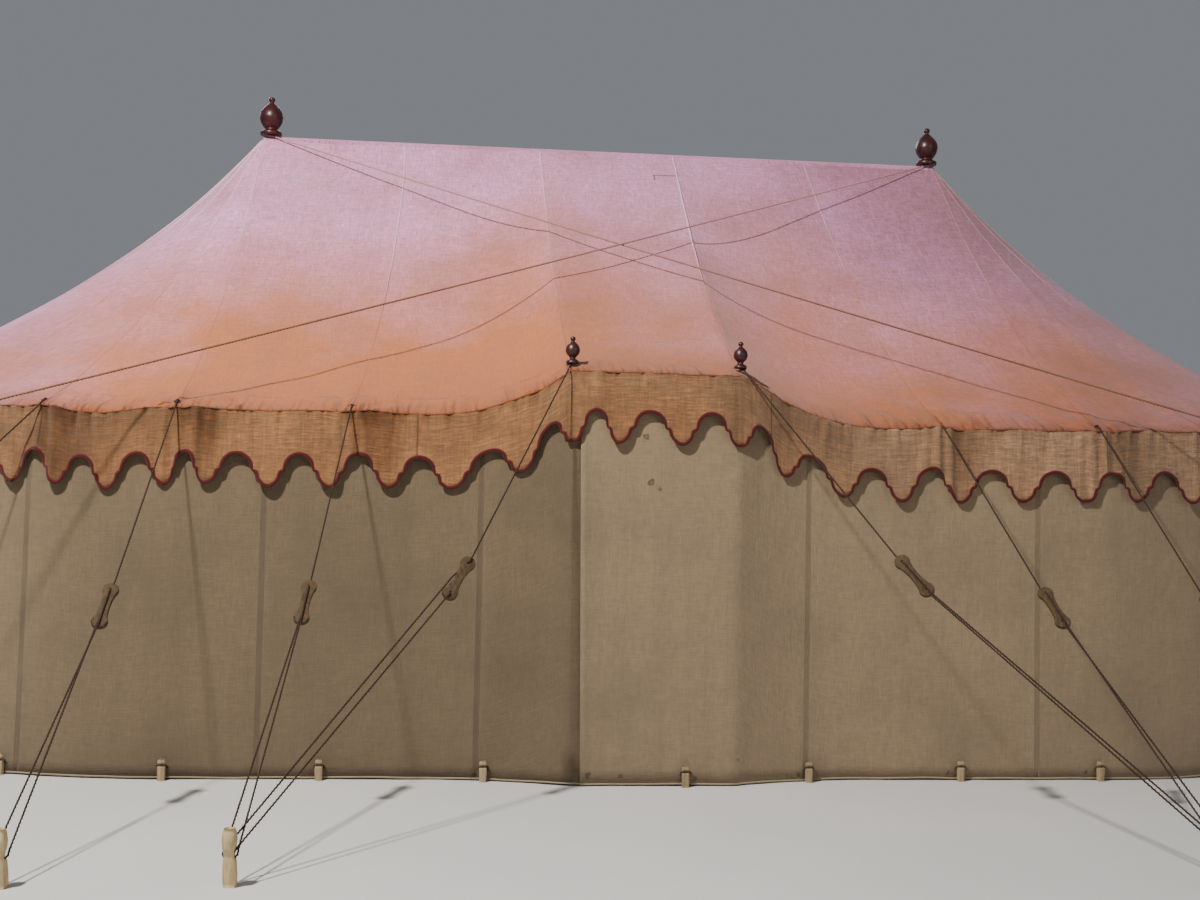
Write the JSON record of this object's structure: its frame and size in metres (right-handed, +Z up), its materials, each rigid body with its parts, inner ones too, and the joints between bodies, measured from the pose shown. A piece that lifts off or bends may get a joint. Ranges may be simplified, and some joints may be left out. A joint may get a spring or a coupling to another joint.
{
  "type": "oval headquarters marquee tent",
  "caption": "Oval cloth marquee with rounded ends, scalloped valance, hanging walls, a door porch on short poles, guy lines with wooden sliders and crossed storm lines.",
  "frame": {"origin": "on the ground under the middle of the ridge, midway between the storm line stakes", "axes": "+X along the ridge to the right seen from the door, -Y out of the door, +Z up"},
  "size_m": [14.0586, 10.5586, 3.6316],
  "materials": {
    "roof_linen": "aged cream linen, matte, with flat felled seams",
    "valance_linen": "tan linen bound with dark red tape, matte",
    "wall_linen": "grey-tan linen with vertical streaks, matte",
    "binding": "dark red woven tape",
    "pole_wood": "planed and oiled wood",
    "finial_paint": "glossy dark red-brown paint on turned wood",
    "rope": "dark tarred hemp, three strands",
    "slider_wood": "weathered grey-brown wood",
    "stake_wood": "hewn pale wood"
  },
  "bodies": {
    "root": {"door_finial_left": "finial_paint", "door_finial_right": "finial_paint", "door_flap": "wall_linen", "door_pole_left": "pole_wood", "door_pole_right": "pole_wood", "finial_left": "finial_paint", "finial_right": "finial_paint", "guys_back_left": "rope", "guys_back_left_corner": "rope", "guys_back_right": "rope", "guys_back_right_corner": "rope", "guys_end_left_back": "rope", "guys_end_left_front": "rope", "guys_end_left_middle": "rope", "guys_end_right_back": "rope", "guys_end_right_front": "rope", "guys_end_right_middle": "rope", "guys_front_left": "rope", "guys_front_left_corner": "rope", "guys_front_right": "rope", "guys_front_right_corner": "rope", "ridge_pole": "pole_wood", "roof_back": "roof_linen", "roof_end_left": "roof_linen", "roof_end_right": "roof_linen", "roof_front_left": "roof_linen", "roof_front_right": "roof_linen", "roof_porch": "roof_linen", "stake_front_left": "stake_wood", "stake_front_left_corner": "stake_wood", "stake_front_right": "stake_wood", "stake_front_right_corner": "stake_wood", "storm_line_left": "rope", "storm_line_right": "rope", "storm_stake_back_left": "stake_wood", "storm_stake_back_right": "stake_wood", "storm_stake_front_left": "stake_wood", "storm_stake_front_right": "stake_wood", "upright_left": "pole_wood", "upright_right": "pole_wood", "valance_back": "valance_linen", "valance_end_left": "valance_linen", "valance_end_right": "valance_linen", "valance_front_left": "valance_linen", "valance_front_right": "valance_linen", "valance_porch": "valance_linen", "wall_back": "wall_linen", "wall_end_left": "wall_linen", "wall_end_right": "wall_linen", "wall_front_left": "wall_linen", "wall_front_right": "wall_linen"}
  },
  "joints": []
}
